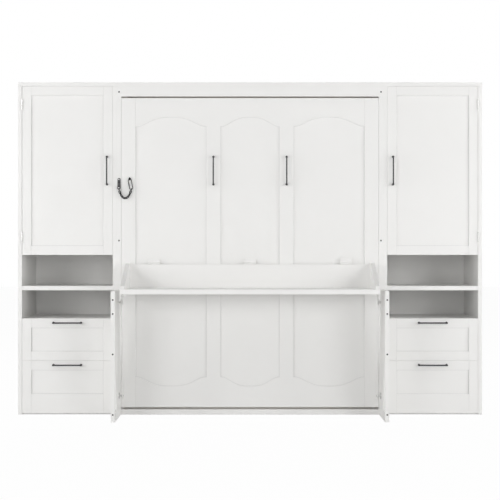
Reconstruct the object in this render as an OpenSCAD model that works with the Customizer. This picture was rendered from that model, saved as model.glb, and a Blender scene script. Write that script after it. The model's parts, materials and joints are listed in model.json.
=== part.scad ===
// Wall bed with a fold down desk, standing between two storage towers.
// X runs to the right as seen from the front, the front faces -Y, Z is up.
// The floor is Z = 0. Everything is drawn with the bed folded up and the desk level.

/* [Cabinet] */
// Height from the floor to the top
overall_h = 2160; // [2120:5:2300]
// Depth from the front faces to the wall
cabinet_d = 600; // [580:5:680]
// Width of each storage tower
tower_w = 641; // [560:1:700]
// Thickness of the tower boards and the tops
board_t = 25; // [20:1:28]
// Thickness of the two sides of the bed bay
bay_side_t = 30; // [28:1:36]
// Thickness of doors, drawer fronts and cross rails
front_t = 20; // [18:1:24]
// Thickness of the tower backs
back_t = 12; // [8:1:15]
// Depth of the sunk panels
recess_d = 8; // [4:1:9]
// Width of the fine joint lines between uprights and cross pieces
joint_w = 1; // [0.5:0.25:2]
// Height of the rail over the bed
header_h = 67; // [50:1:90]
// Height of the rail under the bed
bottom_rail_h = 34; // [25:1:38]
// Height of the floor stretcher behind the bed
stretcher_h = 30; // [20:1:32]
// Distance from the front faces back to the floor stretcher
stretcher_back = 200; // [190:5:260]
// Depth of the rails that are screwed to the wall
wall_rail_t = 22; // [18:1:30]
// Height of the rails that are screwed to the wall
wall_rail_h = 150; // [100:5:180]
// Top of the lower wall rail
lower_wall_rail_z = 850; // [800:5:900]
// Radius of the holes for the wall screws
wall_hole_r = 4; // [3:0.5:6]
// Distance between the wall screws along a rail
wall_hole_span = 1200; // [800:50:1400]

/* [Tower fittings] */
// Floor of the lower open niche
niche_floor_z = 626; // [600:1:660]
// Top of the niche shelf
niche_shelf_z = 836; // [800:1:860]
// Thickness of the niche shelf
niche_shelf_t = 28; // [18:1:30]
// Underside of the cupboard floor
cupboard_z = 1040; // [1000:1:1080]
// Thickness of the loose cupboard shelves
shelf_t = 18; // [15:1:25]
// Height of the lower loose cupboard shelf
lower_shelf_z = 1400; // [1300:5:1450]
// Height of the upper loose cupboard shelf
upper_shelf_z = 1760; // [1700:5:1850]
// How far the shelves stand back from the door
shelf_setback = 20; // [10:1:40]
// Gap round a door or a drawer front at the hinge side, top and bottom
front_gap = 2; // [2:0.5:3]
// Gap at the free side of a door
free_gap = 2; // [1.5:0.5:5]
// Width of the frame round a sunk panel of a door or drawer
frame_w = 59; // [45:1:75]
// Height of the upper drawer front
upper_front_h = 272; // [240:1:290]
// Gap between the two drawer fronts
drawer_gap = 2; // [1.5:0.5:5]
// Lower edge of the lower drawer front
toe_gap = 8; // [6:1:15]
// Top of the base board
base_z = 45; // [42:1:50]
// Added height of the bottom rail of the lower drawer front
plinth_extra = 67; // [50:1:90]
// Length of a drawer box
box_d = 500; // [400:10:520]
// Height of a drawer box
box_h = 200; // [150:5:205]
// Thickness of the drawer box walls
box_t = 12; // [9:1:16]
// Room for a runner at each side of a drawer box
runner_room = 13; // [12:0.5:16]

/* [Door hinges] */
// Distance from the end of the door to the middle of a hinge
hinge_inset = 117; // [90:1:160]
// Radius of a door hinge barrel
knuckle_r = 4; // [3.5:0.25:4.25]
// Length of one of the three barrel parts
knuckle_l = 22; // [18:1:28]
// Radius of a door hinge pin
hinge_pin_r = 1.6; // [1.2:0.1:2]
// Thickness of a door hinge leaf
leaf_t = 0.9; // [0.6:0.1:0.9]

/* [Pull handles] */
// Length of a pull
pull_l = 190; // [150:5:220]
// Radius of the bar of a pull
pull_r = 4.5; // [3.5:0.25:5]
// Radius of the posts at the ends of a pull
post_r = 5.5; // [5.25:0.25:7]
// Distance from the board to the middle of the bar
pull_reach = 29; // [24:1:36]
// Height of the middle of the upright pulls
upright_pull_z = 1586; // [1500:1:1650]
// Distance from the free edge of the door to its pull
door_pull_in = 35; // [25:1:50]
// Distance from the top of a drawer front to its pull
drawer_pull_drop = 27; // [20:1:35]
// Distance from the middle of the bed to its pulls
bed_pull_x = 238; // [225:1:250]

/* [Bed] */
// Width of the bed face
bed_face_w = 1668; // [1600:2:1700]
// Thickness of the bed face
bed_face_t = 18; // [16:1:22]
// Gap at each side of the bed face
bed_side_gap = 3; // [2:0.5:5]
// Gap over the bed face
bed_top_gap = 10; // [8:1:16]
// Gap under the bed face
bed_bottom_gap = 15; // [12:1:20]
// Width of an arched panel at the sides of the face
side_panel_w = 461; // [430:1:480]
// Width of the arched panel in the middle
middle_panel_w = 384; // [350:1:400]
// Width of the uprights between the panels
mullion_w = 91; // [70:1:110]
// Height where the top arches start
arch_z = 1874; // [1800:1:1900]
// Rise of the arches
arch_rise = 60; // [30:1:80]
// Height where the bottom arches start
foot_arch_z = 244; // [220:1:280]
// Thickness of the bed rails
rail_t = 22; // [18:1:28]
// Depth of the side rails behind the face
side_rail_d = 104; // [90:1:110]
// Depth of the end rails and the middle rail behind the face
slat_level = 60; // [45:1:70]
// Distance from the edge of the face to a side rail
side_rail_in = 42; // [40:1:46]
// Distance from the end of the face to an end rail
end_rail_in = 11; // [8:1:20]
// Width of a slat
slat_w = 70; // [50:5:90]
// Thickness of a slat
slat_t = 18; // [12:1:22]
// Number of slats
slat_count = 13; // [8:1:16]
// Height of the bed pivot
pivot_z = 380; // [365:1:400]
// Distance from the front face back to the bed pivot
pivot_back = 100; // [95:1:110]
// Radius of the bed pivot pins
pivot_pin_r = 10; // [8:0.5:12]

/* [Desk] */
// Reach of the desk in front of the faces
desk_reach = 400; // [380:5:440]
// Width of the desktop
desk_w = 1618; // [1560:2:1622]
// Thickness of the desktop
desk_t = 30; // [22:1:34]
// Height of the desktop
desk_z = 825; // [800:1:850]
// Height of the board at the back of the desk
desk_back_h = 152; // [120:1:156]
// Thickness of the board at the back of the desk
desk_back_t = 18; // [15:1:22]
// Gap between the desk and the bed face
desk_gap = 2; // [2:0.5:4]
// Thickness of the sloping end panels
end_t = 25; // [18:1:30]
// Height of the end panels at the front
end_low_h = 21; // [10:1:40]
// Length of the level stretch at the top of the end panels
end_top_l = 48; // [20:1:80]
// Distance from the front of the desktop back to the end panels
end_front_in = 10; // [5:1:20]
// Distance from the end of the desktop in to the end panels
end_side_in = 4; // [3:1:10]
// Distance of the desk hinge line in front of the bed face
hinge_fwd = 10; // [10:1:12]
// Height of the desk hinge line over the back board
hinge_up = 6; // [6:0.5:8]
// Radius of the desk hinge barrels
desk_knuckle_r = 5; // [4:0.5:6]
// Length of a desk hinge
desk_hinge_l = 78; // [60:1:100]
// Distance from the middle to the outer desk hinges
desk_hinge_x = 623; // [500:1:700]
// Height of the leaf that is screwed to the bed face
desk_leaf_h = 37; // [25:1:45]

/* [Legs] */
// Height of the legs
leg_h = 815; // [790:1:840]
// Thickness of the legs
leg_t = 25; // [18:1:26]
// Width of the strip down the front of each leg
leg_strip_t = 18; // [15:1:25]
// Height where the leg panel is bolted to the bay
leg_back_h = 190; // [150:1:260]
// Room between the top of the leg panel and the face
leg_top_in = 88; // [60:1:120]
// Lower edge of the wedge opening in the leg panel
wedge_z = 62; // [50:1:90]
// Height of the wedge opening
wedge_h = 338; // [250:1:360]
// Depth of the wedge opening at its foot
wedge_d = 110; // [60:1:130]

/* [Desk links] */
// Height of the lower pivot of the desk links
link_z = 137; // [130:1:150]
// Distance from the front face out to the lower pivot
link_fwd = 130; // [120:1:140]
// Width of a desk link
link_w = 30; // [24:1:34]
// Thickness of a desk link
link_t = 6; // [5:0.5:7]
// Radius of the link pins
link_pin_r = 6; // [5:0.5:8]
// Thickness of the plates under the desk
link_plate_t = 5; // [4:0.5:6]
// Gap between a desk plate and its link
link_gap = 3; // [2.5:0.5:4]
// Looser clearance at the upper link pin
upper_pin_play = 0.4; // [0.3:0.05:0.6]

/* [Lift struts] */
// Height of the strut anchor on the bay side
strut_z = 900; // [860:5:950]
// Distance of the strut anchor behind the bed pivot
strut_back = 160; // [150:5:180]
// Distance from the bed pivot down to the strut stud on the bed
strut_drop = 150; // [140:5:160]
// Radius of the strut tube
tube_r = 14; // [11:0.5:15]
// Radius of the strut rod
rod_r = 5; // [4:0.5:6]
// Radius of the eyes at the ends of a strut
eye_r = 12; // [10:0.5:14]
// Width of the eyes at the ends of a strut
eye_w = 16; // [12:1:18]
// Radius of the studs that carry the struts
stud_r = 6; // [5:0.5:7]

/* [Safety tether] */
// Distance from the middle of the bed to the anchor plate
anchor_x = 851; // [851:0.5:853]
// Height of the peg on the anchor plate
peg_z = 1474; // [1400:1:1500]
// Width of the anchor plate
anchor_w = 26; // [20:1:27]
// Height of the anchor plate
anchor_h = 72; // [60:1:90]
// Radius of the peg
peg_r = 3; // [2:0.5:3.5]
// Radius of the end ring, to the middle of its wire
ring_r = 9; // [8.5:0.25:11]
// Radius of the wire of the ring
ring_wire_r = 2; // [1.5:0.25:2]
// Number of chain links, an odd number
link_count = 11; // [9:2:13]
// Distance from link to link
chain_pitch = 14; // [12:0.5:15]
// Radius of the chain wire
chain_wire_r = 1.5; // [1.3:0.1:1.6]
// How open the hanging chain is at its lowest point
chain_open = 20; // [19:0.5:26]
// Length of the snap hook, to the middle of its wire
snap_l = 67; // [60:1:90]
// Radius of the round ends of the snap hook
snap_end_r = 10; // [9:0.5:12]
// Radius of the wire of the snap hook
snap_wire_r = 2.5; // [2:0.25:2.75]
// Lean of the snap hook
snap_lean = 10; // [5:1:15]
// Radius of the screw eye, to the middle of its wire
screw_eye_r = 8; // [7:0.5:10]
// Distance of the tether in front of the bed face
tether_fwd = 12; // [12:0.5:14]

/* [Bolt caps] */
// Radius of the dark bolt caps
cap_r = 5.5; // [4:0.5:7]
// Depth of the bolt caps
cap_d = 3; // [2:0.5:5]
// Height of the lowest bolt in each leg
leg_bolt_1_z = 47; // [35:1:70]
// Height of the second bolt in each leg
leg_bolt_2_z = 422; // [400:1:450]
// Distance from the top of each leg down to its third bolt
leg_bolt_3_drop = 142; // [120:1:170]
// Distance from the top of each leg down to its top bolt
leg_bolt_4_drop = 55; // [30:1:80]
// Distance from the top of the legs up to the lower bolt in the edge of each bay side
bay_bolt_rise = 316; // [280:1:340]
// Distance from the tops down to the upper bolt in the edge of each bay side
bay_bolt_drop = 37; // [25:1:60]

/* [Hidden] */
$fn = 48;
wire_fn = 24;
running_fit = 0.05;
part_gap = 0.3;
past = 1;

// depth: the desk reach and the cabinets share the footprint, and the origin is its middle
back_y = (cabinet_d + desk_reach) / 2;
front_y = -back_y;
face_y = back_y - cabinet_d;

// widths
bay_in = bed_face_w / 2 + bed_side_gap;
bay_out = bay_in + bay_side_t;
tower_in = bay_out;
tower_out = bay_out + tower_w;
cavity_in = tower_in + board_t;
cavity_out = tower_out - board_t;
front_in = cavity_in + free_gap;
front_out = cavity_out - front_gap;

// heights
top_z = overall_h - board_t;
header_z = top_z - header_h;
bed_top = header_z - bed_top_gap;
bed_bottom = bottom_rail_h + bed_bottom_gap;
front_back = face_y + front_t;
shelf_front = front_back + front_gap;
stretcher_y = face_y + stretcher_back;
back_in = back_y - back_t;
door_z = [cupboard_z - front_gap, top_z - front_gap];
upper_front_z = [niche_floor_z - front_gap - upper_front_h, niche_floor_z - front_gap];
lower_front_z = [toe_gap, upper_front_z[0] - drawer_gap];
shelf_in_niche = 3;

// drawer boxes and their runners
box_over_edge = 20;
box_over_base = 10;
upper_box_z = upper_front_z[0] + box_over_edge;
lower_box_z = base_z + box_over_base;
box_in = cavity_in + runner_room;
box_out = cavity_out - runner_room;
box_floor_t = 6;
box_floor_up = 10;
runner_h = 40;
runner_lip = 2;
runner_wall = 5;
runner_rise = 60;
runner_setback = 10;
runner_short = 30;
runner_side_gap = 3;
runner_start = front_back + runner_setback;
runner_member_l = box_d - runner_short;

// door hinge line
door_hinge_x = cavity_out - front_gap / 2;
knuckle_clear = 0.5;
door_hinge_y = face_y - knuckle_r - knuckle_clear;
door_hinge_z = [door_z[0] + hinge_inset, door_z[1] - hinge_inset];
leaf_short = 3;
leaf_back = face_y + front_t - leaf_short;

// bed
face_half = bed_face_w / 2;
face_back = face_y + bed_face_t;
rail_out = face_half - side_rail_in;
rail_in = rail_out - rail_t;
slat_y = face_back + slat_level;
end_rail_z = [bed_bottom + end_rail_in, bed_top - end_rail_in - rail_t];
between_rails_z = [end_rail_z[0] + rail_t, end_rail_z[1]];
pivot_y = face_y + pivot_back;
blind_wall = 6;
pivot_pin_end = bay_out - blind_wall;
panel_x = [
    -middle_panel_w / 2 - mullion_w - side_panel_w / 2,
    0,
    middle_panel_w / 2 + mullion_w + side_panel_w / 2
];
panel_w = [side_panel_w, middle_panel_w, side_panel_w];
stile_joint_x = panel_x[2] + side_panel_w / 2 + joint_w / 2;

// desk
desk_half = desk_w / 2;
desk_back = face_y - desk_gap;
back_board_top = desk_z + desk_back_h;
hinge_y = face_y - hinge_fwd;
hinge_z = back_board_top + hinge_up;
desk_leaf_t = 2;
desk_pin_r = 2;
desk_arm_z = [hinge_z + 2, hinge_z + 4];
desk_end_out = desk_half - end_side_in;
desk_end_in = desk_end_out - end_t;
desk_end_top = hinge_z;
desk_hinge_at = [-desk_hinge_x, 0, desk_hinge_x];
knuckle_share = desk_hinge_l / 3;

// legs
leg_shift = 0.5;
leg_in = bay_in + (bay_side_t - leg_t) / 2 - leg_shift;
leg_strip_back = front_y + leg_strip_t;
leg_mid = leg_in + leg_t / 2;

// The four pivots of the desk links make a parallelogram with the bed pivot.
link_foot = [face_y - link_fwd, link_z];
link_head = link_foot + [hinge_y - pivot_y, hinge_z - pivot_z];
link_x = desk_half + link_gap;
link_eye_rim = 3;
link_eye_r = link_w / 2 + link_eye_rim;
link_boss = 0.5;
link_tilt = atan2(link_foot[0] - link_head[0], link_head[1] - link_foot[1]);
link_l = norm(link_head - link_foot);
plate_w = 60;
stud_plate_r = 20;
stud_plate_t = 4;
stud_clear = 2;
stud_past = 1;

// lift struts
strut_top = [pivot_y + strut_back, strut_z];
strut_foot = [pivot_y, pivot_z - strut_drop];
strut_l = norm(strut_top - strut_foot);
strut_tilt = atan2(strut_foot[0] - strut_top[0], strut_top[1] - strut_foot[1]);
strut_x = (rail_out + bay_in) / 2;
strut_foot_open = [pivot_y + strut_drop, pivot_z];
strut_open_l = norm(strut_top - strut_foot_open);
tube_start = 20;
tube_wall = 20;
strut_end_room = 10;
tube_l = strut_open_l - tube_start - 2 * eye_r - strut_end_room;
rod_l = strut_open_l - tube_start - tube_wall - strut_end_room - eye_r / 2;

// bolts
leg_cap_z = [leg_bolt_1_z, leg_bolt_2_z, leg_h - leg_bolt_3_drop, leg_h - leg_bolt_4_drop];
bay_cap_z = [leg_h + bay_bolt_rise, top_z - bay_bolt_drop];

// tether
tether_y = face_y - tether_fwd;
anchor_t = 3;
anchor_foot = 8;
peg_past = 3;
peg_x = -anchor_x;
ring_play = 1.5;
ring_z = peg_z - ring_play;
chain_slack = 0.8;
chain_half_l = (chain_pitch + 2 * chain_wire_r + chain_slack) / 2;
chain_half_w = 6;
link_in_ring = chain_half_l - chain_wire_r - ring_wire_r - chain_slack;
link_in_snap = chain_half_l - chain_wire_r - snap_wire_r - chain_slack;
chain_l = link_in_ring + (link_count - 1) * chain_pitch + link_in_snap;
chain_z = ring_z - ring_r;
chain_sag = sqrt(chain_open * chain_open + chain_l * chain_l / 4) - chain_open;
chain_span = 2 * chain_x(chain_l / 2);
snap_x = peg_x + chain_span;
snap_top = [snap_x - sin(snap_lean) * snap_l, chain_z + cos(snap_lean) * snap_l];
screw_eye_wire_r = 2;
screw_eye_z = snap_top[1] + screw_eye_r - screw_eye_wire_r - snap_wire_r - part_gap;

// A chain hangs in a catenary. Place along it, from its lowest point, for a length s of chain.
function chain_x(s) = chain_open * ln(s / chain_open + sqrt(pow(s / chain_open, 2) + 1));
function chain_y(s) = sqrt(chain_open * chain_open + s * s) - chain_open;
function chain_turn(s) = atan(s / chain_open);

// Outline of an arched panel: a broad round crown that runs out into hollow curves.
arch_steps = 24;
crown_power = 1.5;
function crown(u) = (1 + cos(180 * pow(abs(u), crown_power))) / 2;
function arch(w, z, rise) = [
    for (i = [0:arch_steps]) let (u = 1 - 2 * i / arch_steps) [u * w / 2, z + rise * crown(u)]
];
function panel_outline(w) = concat(
    arch(w, arch_z, arch_rise),
    [for (p = arch(w, foot_arch_z, -arch_rise)) [-p[0], p[1]]]
);

// Outline of a leg panel seen from the side, with its wedge opening.
leg_outline = [
    [leg_strip_back, 0],
    [face_y, 0],
    [face_y, leg_back_h],
    [face_y - leg_top_in, leg_h],
    [leg_strip_back, leg_h],
    [leg_strip_back, wedge_z + wedge_h],
    [leg_strip_back + wedge_d, wedge_z],
    [leg_strip_back, wedge_z]
];

// Outline of a sloping end panel of the desk seen from the side.
end_outline = [
    [desk_back, desk_z],
    [desk_back, desk_end_top],
    [desk_back - end_top_l, desk_end_top],
    [front_y + end_front_in, desk_z + end_low_h],
    [front_y + end_front_in, desk_z]
];

// ---- shared shapes ----

// A box given by its ranges in X, Y and Z
module span(x, y, z) {
    translate([x[0], y[0], z[0]]) cube([x[1] - x[0], y[1] - y[0], z[1] - z[0]]);
}

// The same thing at both sides of the middle
module both_sides() {
    children();
    left_side() children();
}

module left_side() {
    mirror([1, 0, 0]) children();
}

// A flat shape drawn in Y and Z, given a thickness along X
module side_plate(x, t) {
    translate([x, 0, 0]) rotate([90, 0, 90]) linear_extrude(t) children();
}

// A flat shape drawn in X and Z, sunk into or raised from a front
module front_shape(y, t) {
    translate([0, y + t, 0]) rotate([90, 0, 0]) linear_extrude(t) children();
}

// A round bar along X, from x[0] to x[1], through the point p = [y, z]
module cross_bar(r, x, p) {
    translate([x[0], p[0], p[1]]) rotate([0, 90, 0]) cylinder(r = r, h = x[1] - x[0]);
}

// A bar pull, upright, with its middle at the origin and the board at Y = 0
module pull() {
    post_at = pull_l / 2 - post_r;
    post_l = pull_reach + post_r;
    translate([0, -pull_reach, -post_at]) cylinder(r = pull_r, h = 2 * post_at);
    for (z = [-post_at, post_at]) {
        translate([0, 0, z]) rotate([90, 0, 0]) cylinder(r = post_r, h = post_l);
    }
}

// Fine joint lines at x and -x about the middle mid, over the whole height z of a front
module joint_lines(mid, half, z) {
    for (x = [mid - half, mid + half]) {
        span([x - joint_w / 2, x + joint_w / 2], [face_y - past, face_y + joint_w], z);
    }
}

// A front with a sunk panel: z is its range, low_frame the height of the frame below the panel
module sunk_front(z, low_frame) {
    half = (front_out - front_in) / 2 - frame_w + joint_w / 2;
    color("white") difference() {
        span([front_in, front_out], [face_y, front_back], z);
        span(
            [front_in + frame_w, front_out - frame_w],
            [face_y - past, face_y + recess_d],
            [z[0] + low_frame, z[1] - frame_w]
        );
        joint_lines((front_in + front_out) / 2, half, [z[0] - past, z[1] + past]);
    }
}

// ---- the bed bay ----

module bay_side() {
    color("white") difference() {
        span([bay_in, bay_out], [face_y, back_y], [0, top_z]);
        cross_bar(
            pivot_pin_r + running_fit, [bay_in - past, pivot_pin_end + past], [pivot_y, pivot_z]
        );
        bay_cap_holes();
    }
}

module bed_bay_side_left() {
    left_side() bay_side();
}

module bed_bay_side_right() {
    bay_side();
}

module bed_bay_top() {
    color("white") span([-bay_out, bay_out], [face_y, back_y], [top_z, overall_h]);
}

module bay_rails() {
    color("white") {
        span([-bay_in, bay_in], [face_y, front_back], [header_z, top_z]);
        span([-bay_in, bay_in], [face_y, front_back], [0, bottom_rail_h]);
        span([-bay_in, bay_in], [stretcher_y, stretcher_y + front_t], [0, stretcher_h]);
    }
}

module wall_rails() {
    color("white") for (z = [top_z, lower_wall_rail_z]) {
        difference() {
            span([-bay_in, bay_in], [back_y - wall_rail_t, back_y], [z - wall_rail_h, z]);
            for (x = [-wall_hole_span / 2, wall_hole_span / 2]) {
                translate([x, back_y + past, z - wall_rail_h / 2])
                    rotate([90, 0, 0]) cylinder(r = wall_hole_r, h = wall_rail_t + 2 * past);
            }
        }
    }
}

// ---- the towers ----

module tower_sides() {
    color("white") both_sides() {
        span([tower_in, cavity_in], [face_y, back_y], [0, top_z]);
        span([cavity_out, tower_out], [face_y, back_y], [0, top_z]);
    }
}

module tower_tops() {
    color("white") both_sides() {
        span([tower_in, tower_out], [face_y, back_y], [top_z, overall_h]);
    }
}

// A board across the inside of each tower, in front of the back
module tower_board(y, z, t) {
    both_sides() span([cavity_in, cavity_out], [y, back_in], [z, z + t]);
}

module cupboard_floors() {
    color("white") tower_board(shelf_front, cupboard_z, board_t);
}

module niche_shelves() {
    color("white") tower_board(face_y + shelf_in_niche, niche_shelf_z - niche_shelf_t, niche_shelf_t);
}

module drawer_decks() {
    color("white") tower_board(shelf_front, niche_floor_z - board_t, board_t);
}

module tower_bases() {
    color("white") {
        tower_board(shelf_front, base_z - board_t, board_t);
        both_sides() {
            span([cavity_in, cavity_out], [shelf_front, shelf_front + front_t], [0, base_z - board_t]);
        }
    }
}

module tower_backs() {
    color("white") both_sides() {
        span([cavity_in, cavity_out], [back_in, back_y], [0, top_z]);
    }
}

module cupboard_shelves() {
    color("white") for (z = [lower_shelf_z, upper_shelf_z]) {
        tower_board(front_back + shelf_setback, z - shelf_t, shelf_t);
    }
}

// ---- doors ----

module door() {
    sunk_front(door_z, frame_w);
}

module left_door() {
    left_side() door();
}

module right_door() {
    door();
}

module door_handle() {
    color("black") translate([front_in + door_pull_in, face_y, upright_pull_z]) pull();
}

module left_door_handle() {
    left_side() door_handle();
}

module right_door_handle() {
    door_handle();
}

// One part of a door hinge barrel, from z to z + knuckle_l
module knuckle(z) {
    translate([door_hinge_x, door_hinge_y, z]) cylinder(r = knuckle_r, h = knuckle_l);
}

// The half that stays on the side of the tower: outer barrel parts, pin and leaf
module frame_half_hinge(z) {
    knuckle(z - 1.5 * knuckle_l - part_gap);
    knuckle(z + 0.5 * knuckle_l + part_gap);
    translate([door_hinge_x, door_hinge_y, z - 1.5 * knuckle_l]) {
        cylinder(r = hinge_pin_r, h = 3 * knuckle_l);
    }
    for (low = [z - 1.5 * knuckle_l - part_gap, z + 0.5 * knuckle_l + part_gap]) {
        span([cavity_out - leaf_t, cavity_out], [door_hinge_y, leaf_back], [low, low + knuckle_l]);
    }
}

// The half that turns with the door: middle barrel part and leaf
module door_half_hinge(z) {
    difference() {
        union() {
            knuckle(z - 0.5 * knuckle_l);
            span(
                [front_out, front_out + leaf_t], [door_hinge_y, leaf_back],
                [z - 0.5 * knuckle_l, z + 0.5 * knuckle_l]
            );
        }
        translate([door_hinge_x, door_hinge_y, z - knuckle_l]) {
            cylinder(r = hinge_pin_r + running_fit, h = 2 * knuckle_l);
        }
    }
}

module door_hinges() {
    color("silver") both_sides() for (z = door_hinge_z) frame_half_hinge(z);
}

module door_hinge_leaves() {
    color("silver") for (z = door_hinge_z) door_half_hinge(z);
}

module left_door_hinge_leaves() {
    left_side() door_hinge_leaves();
}

module right_door_hinge_leaves() {
    door_hinge_leaves();
}

// ---- drawers ----

// The fixed channel at the left of a drawer, open towards the drawer
module fixed_runner(box_z) {
    z = box_z + runner_rise;
    difference() {
        span(
            [cavity_in, box_in - runner_side_gap], [runner_start, runner_start + box_d],
            [z - runner_h / 2, z + runner_h / 2]
        );
        span(
            [cavity_in + runner_lip, box_in], [runner_start - past, runner_start + box_d + past],
            [z - runner_h / 2 + runner_wall, z + runner_h / 2 - runner_wall]
        );
    }
}

// The sliding bar on the side of a drawer box, which runs in the channel
module sliding_runner(box_z) {
    z = box_z + runner_rise;
    half_h = runner_h / 2 - runner_wall - part_gap;
    span(
        [cavity_in + runner_lip + part_gap, box_in], [runner_start, runner_start + runner_member_l],
        [z - half_h, z + half_h]
    );
}

// What is at one side of a tower, again at its other side
module other_side_too() {
    children();
    translate([cavity_in + cavity_out, 0, 0]) mirror([1, 0, 0]) children();
}

module drawer_runners() {
    color("silver") both_sides() other_side_too() {
        fixed_runner(upper_box_z);
        fixed_runner(lower_box_z);
    }
}

module drawer_box(box_z) {
    floor_z = box_z + box_floor_up;
    color("whitesmoke") {
        difference() {
            span([box_in, box_out], [front_back, front_back + box_d], [box_z, box_z + box_h]);
            span(
                [box_in + box_t, box_out - box_t], [front_back + box_t, front_back + box_d - box_t],
                [floor_z + box_floor_t, box_z + box_h + past]
            );
            span(
                [box_in + box_t, box_out - box_t], [front_back + box_t, front_back + box_d - box_t],
                [box_z - past, floor_z]
            );
        }
        other_side_too() sliding_runner(box_z);
    }
}

module drawer_handle(front_z) {
    color("black") {
        translate([(front_in + front_out) / 2, face_y, front_z[1] - drawer_pull_drop]) {
            rotate([0, 90, 0]) pull();
        }
    }
}

module upper_left_drawer_front() {
    left_side() sunk_front(upper_front_z, frame_w);
}

module upper_right_drawer_front() {
    sunk_front(upper_front_z, frame_w);
}

module lower_left_drawer_front() {
    left_side() sunk_front(lower_front_z, frame_w + plinth_extra);
}

module lower_right_drawer_front() {
    sunk_front(lower_front_z, frame_w + plinth_extra);
}

module upper_left_drawer_box() {
    left_side() drawer_box(upper_box_z);
}

module upper_right_drawer_box() {
    drawer_box(upper_box_z);
}

module lower_left_drawer_box() {
    left_side() drawer_box(lower_box_z);
}

module lower_right_drawer_box() {
    drawer_box(lower_box_z);
}

module upper_left_drawer_handle() {
    left_side() drawer_handle(upper_front_z);
}

module upper_right_drawer_handle() {
    drawer_handle(upper_front_z);
}

module lower_left_drawer_handle() {
    left_side() drawer_handle(lower_front_z);
}

module lower_right_drawer_handle() {
    drawer_handle(lower_front_z);
}

// ---- legs and bolts ----

// Bolt caps in the front strips of the legs and in the front edges of the bay
module caps_at(y, heights, r) {
    for (z = heights) {
        translate([leg_mid, y + cap_d, z]) rotate([90, 0, 0]) cylinder(r = r, h = cap_d);
    }
}

module bay_cap_holes() {
    caps_at(face_y, bay_cap_z, cap_r);
    caps_at(face_y - past, bay_cap_z, cap_r);
}

module leg_panels() {
    color("white") both_sides() side_plate(leg_in, leg_t) polygon(leg_outline);
}

module leg_front_strips() {
    color("white") both_sides() difference() {
        span([leg_in, leg_in + leg_t], [front_y, leg_strip_back], [0, leg_h]);
        caps_at(front_y, leg_cap_z, cap_r);
        caps_at(front_y - past, leg_cap_z, cap_r);
    }
}

module bolt_caps() {
    color("dimgray") both_sides() {
        caps_at(front_y, leg_cap_z, cap_r - running_fit);
        caps_at(face_y, bay_cap_z, cap_r - running_fit);
    }
}

// ---- the bed ----

module bed_face() {
    color("white") difference() {
        span([-face_half, face_half], [face_y, face_back], [bed_bottom, bed_top]);
        for (i = [0:2]) {
            translate([panel_x[i], 0, 0]) {
                front_shape(face_y - past, recess_d + past) polygon(panel_outline(panel_w[i]));
            }
        }
        joint_lines(0, stile_joint_x, [bed_bottom - past, bed_top + past]);
    }
}

// Side rails with the ledges that carry the slats
module bed_side_rails() {
    color("white") both_sides() {
        span(
            [rail_in, rail_out], [face_back, face_back + side_rail_d],
            [end_rail_z[0], end_rail_z[1] + rail_t]
        );
        span([rail_in - rail_t, rail_in], [face_back, slat_y], between_rails_z);
    }
}

module bed_end_rails() {
    color("white") for (z = end_rail_z) {
        span([-rail_in, rail_in], [face_back, slat_y], [z, z + rail_t]);
    }
}

module bed_centre_rail() {
    color("white") span([-rail_t / 2, rail_t / 2], [face_back, slat_y], between_rails_z);
}

module bed_slats() {
    first = end_rail_z[0] + rail_t;
    room = end_rail_z[1] - first - slat_w;
    color("burlywood") for (i = [0:slat_count - 1]) {
        z = first + room * (i + 0.5) / slat_count;
        span([part_gap - rail_in, rail_in - part_gap], [slat_y, slat_y + slat_t], [z, z + slat_w]);
    }
}

module bed_handles() {
    color("black") both_sides() translate([bed_pull_x, face_y, upright_pull_z]) pull();
}

// Pivot plates and pins of the bed, and the studs that meet the strut rods
module bed_pivot_pins() {
    color("silver") both_sides() {
        cross_bar(stud_plate_r, [rail_out, rail_out + stud_plate_t], [pivot_y, pivot_z]);
        cross_bar(pivot_pin_r, [rail_out, pivot_pin_end], [pivot_y, pivot_z]);
        cross_bar(stud_plate_r, [rail_out, rail_out + stud_plate_t], strut_foot);
        cross_bar(stud_r, [rail_out, strut_x - eye_w / 2 - stud_clear], strut_foot);
    }
}

// ---- desk ----

module desktop() {
    color("white") span([-desk_half, desk_half], [front_y, desk_back], [desk_z - desk_t, desk_z]);
}

module desk_back_board() {
    color("white") span(
        [-desk_end_in, desk_end_in], [desk_back - desk_back_t, desk_back], [desk_z, back_board_top]
    );
}

module desk_end_panels() {
    color("white") both_sides() side_plate(desk_end_in, end_t) polygon(end_outline);
}

// Steel plates under the ends of the desktop, each with the stud of a desk link
module desk_pivot_plates() {
    plate_z = link_head[1] - stud_plate_r;
    color("silver") both_sides() {
        span(
            [desk_half - link_plate_t, desk_half],
            [link_head[0] - plate_w / 2, link_head[0] + plate_w / 2],
            [plate_z, desk_z - desk_t]
        );
        cross_bar(link_pin_r - upper_pin_play, [desk_half, link_x + link_t + stud_past], link_head);
    }
}

// Outer barrel parts, pin and leaf of each desk hinge, screwed to the bed face
module desk_hinges() {
    color("white") for (x = desk_hinge_at) {
        start = x - desk_hinge_l / 2;
        span(
            [start, start + desk_hinge_l], [face_y - desk_leaf_t, face_y],
            [hinge_z, hinge_z + desk_leaf_h]
        );
        for (low = [start, start + 2 * knuckle_share]) {
            cross_bar(desk_knuckle_r, [low, low + knuckle_share], [hinge_y, hinge_z]);
            span([low, low + knuckle_share], [hinge_y, face_y], desk_arm_z);
        }
        cross_bar(desk_pin_r, [start, start + desk_hinge_l], [hinge_y, hinge_z]);
    }
}

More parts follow.
